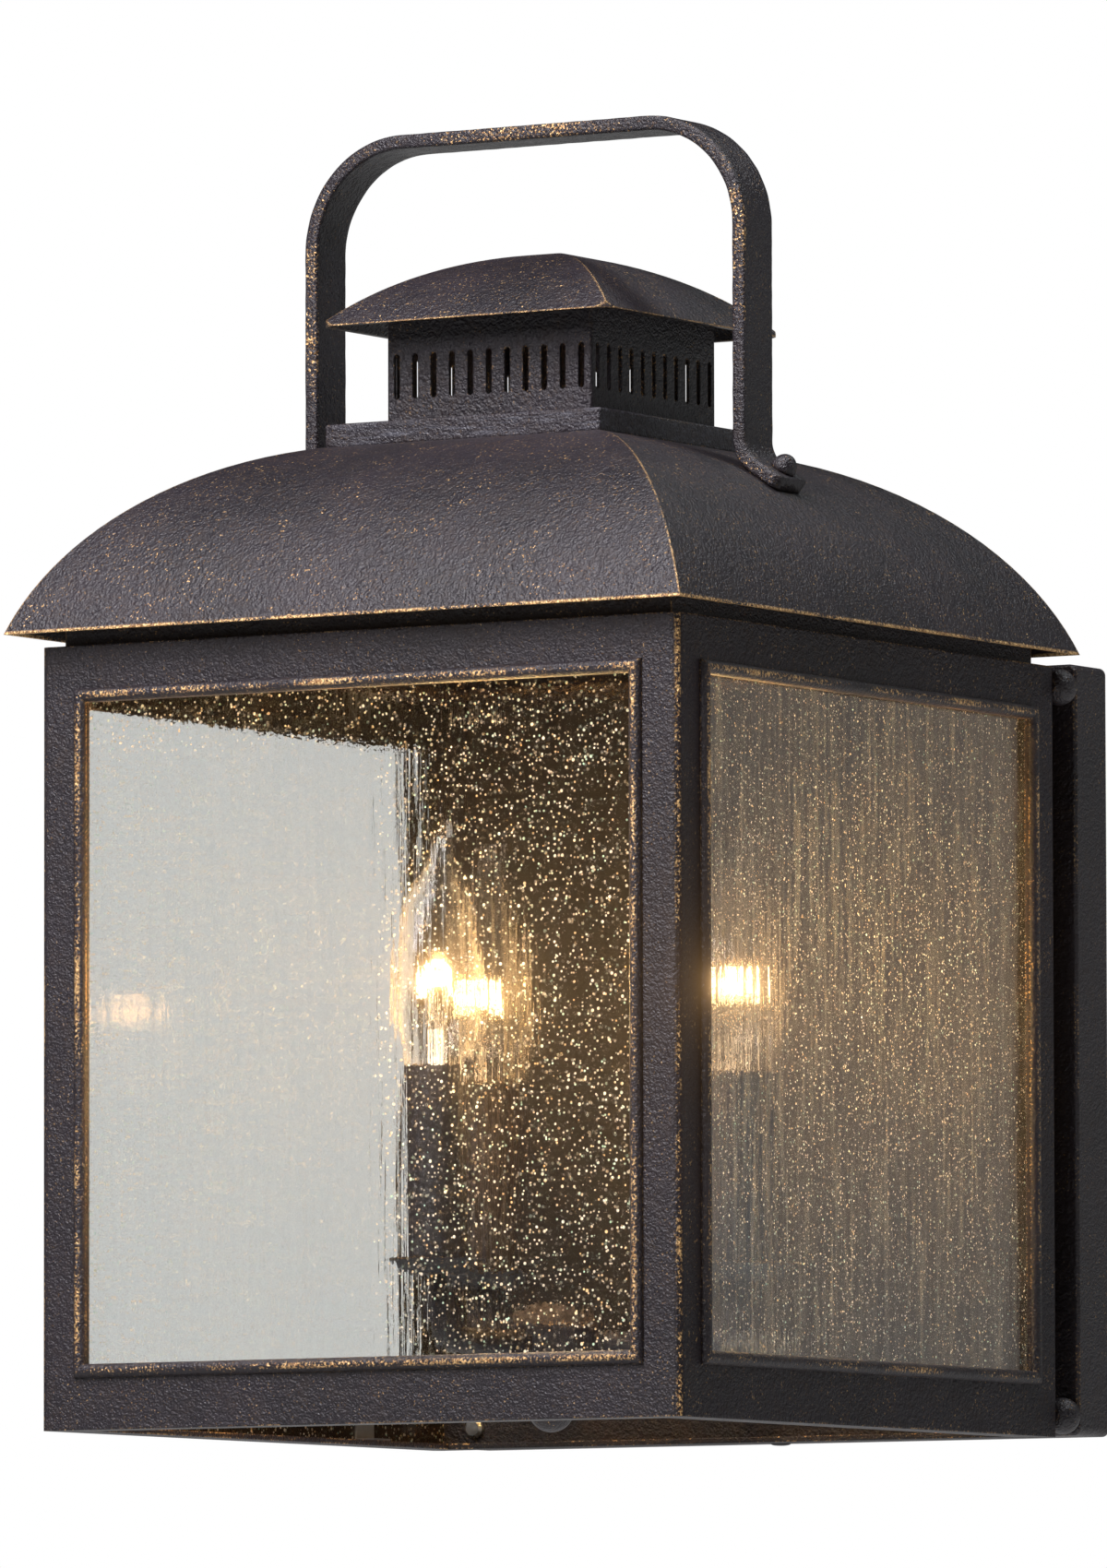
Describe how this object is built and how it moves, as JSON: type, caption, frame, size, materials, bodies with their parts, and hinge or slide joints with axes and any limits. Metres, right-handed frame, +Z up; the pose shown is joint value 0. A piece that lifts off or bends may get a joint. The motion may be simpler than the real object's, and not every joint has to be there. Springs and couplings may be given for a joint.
{
  "type": "outdoor wall lantern",
  "caption": "Square wall lantern with a curved roof, vented cap box, strap handle, seeded glass panes and a candle lamp cluster on a pan-shaped wall plate.",
  "frame": {"origin": "middle of the wall plate's back, on the wall", "axes": "+Y points into the wall, +X to the right of someone who faces the wall, +Z up"},
  "size_m": [0.283, 0.3138, 0.4743],
  "materials": {
    "bronze_paint": "textured dark bronze with copper rub-through on the edges",
    "pane_glass": "clear glass with seeds and fine upright streaks",
    "bulb_glass": "clear",
    "lamp_base": "satin",
    "lamp_mount": "satin",
    "socket": "matte",
    "sleeve": "textured dark bronze",
    "plated_steel": "zinc plated",
    "clip_steel": "dull",
    "green_screw": "satin green"
  },
  "bodies": {
    "lantern": {"back_panel": "bronze_paint", "ball_spacers": "bronze_paint", "body_nuts": "plated_steel", "body_screws": "plated_steel", "bottom_knob": "bronze_paint", "candle_cup_1": "bronze_paint", "candle_cup_2": "bronze_paint", "candle_cup_3": "bronze_paint", "candle_sleeve_1": "sleeve", "candle_sleeve_2": "sleeve", "candle_sleeve_3": "sleeve", "cap_nut": "plated_steel", "cap_strap": "plated_steel", "cluster_arm_1": "bronze_paint", "cluster_arm_2": "bronze_paint", "cluster_arm_3": "bronze_paint", "cluster_hub": "bronze_paint", "front_bead": "bronze_paint", "front_frame": "bronze_paint", "front_pane": "pane_glass", "glass_clips": "clip_steel", "ground_screw": "green_screw", "handle_rivets": "bronze_paint", "handle_strap": "bronze_paint", "left_bead": "bronze_paint", "left_frame": "bronze_paint", "left_pane": "pane_glass", "plate_screws": "bronze_paint", "right_bead": "bronze_paint", "right_frame": "bronze_paint", "right_pane": "pane_glass", "roof_collar": "bronze_paint", "roof_dome": "bronze_paint", "roof_screws": "plated_steel", "roof_skirt": "bronze_paint", "socket_1": "socket", "socket_2": "socket", "socket_3": "socket", "tube_nuts": "plated_steel", "vent_box": "bronze_paint", "vent_cap": "bronze_paint", "vent_screws": "plated_steel", "wall_bracket": "plated_steel", "wall_plate": "bronze_paint", "wire_tube": "plated_steel"},
    "bulb_1": {"bulb_1_glass": "bulb_glass", "bulb_1_base": "lamp_base", "bulb_1_mount": "lamp_mount"},
    "bulb_2": {"bulb_2_glass": "bulb_glass", "bulb_2_base": "lamp_base", "bulb_2_mount": "lamp_mount"},
    "bulb_3": {"bulb_3_glass": "bulb_glass", "bulb_3_base": "lamp_base", "bulb_3_mount": "lamp_mount"}
  },
  "joints": [
    {"name": "bulb_1_lift", "type": "slide", "parent": "lantern", "child": "bulb_1", "axis": [0, 0, 1], "range_m": [0, 0.03]},
    {"name": "bulb_2_lift", "type": "slide", "parent": "lantern", "child": "bulb_2", "axis": [0, 0, 1], "range_m": [0, 0.03]},
    {"name": "bulb_3_lift", "type": "slide", "parent": "lantern", "child": "bulb_3", "axis": [0, 0, 1], "range_m": [0, 0.03]}
  ]
}
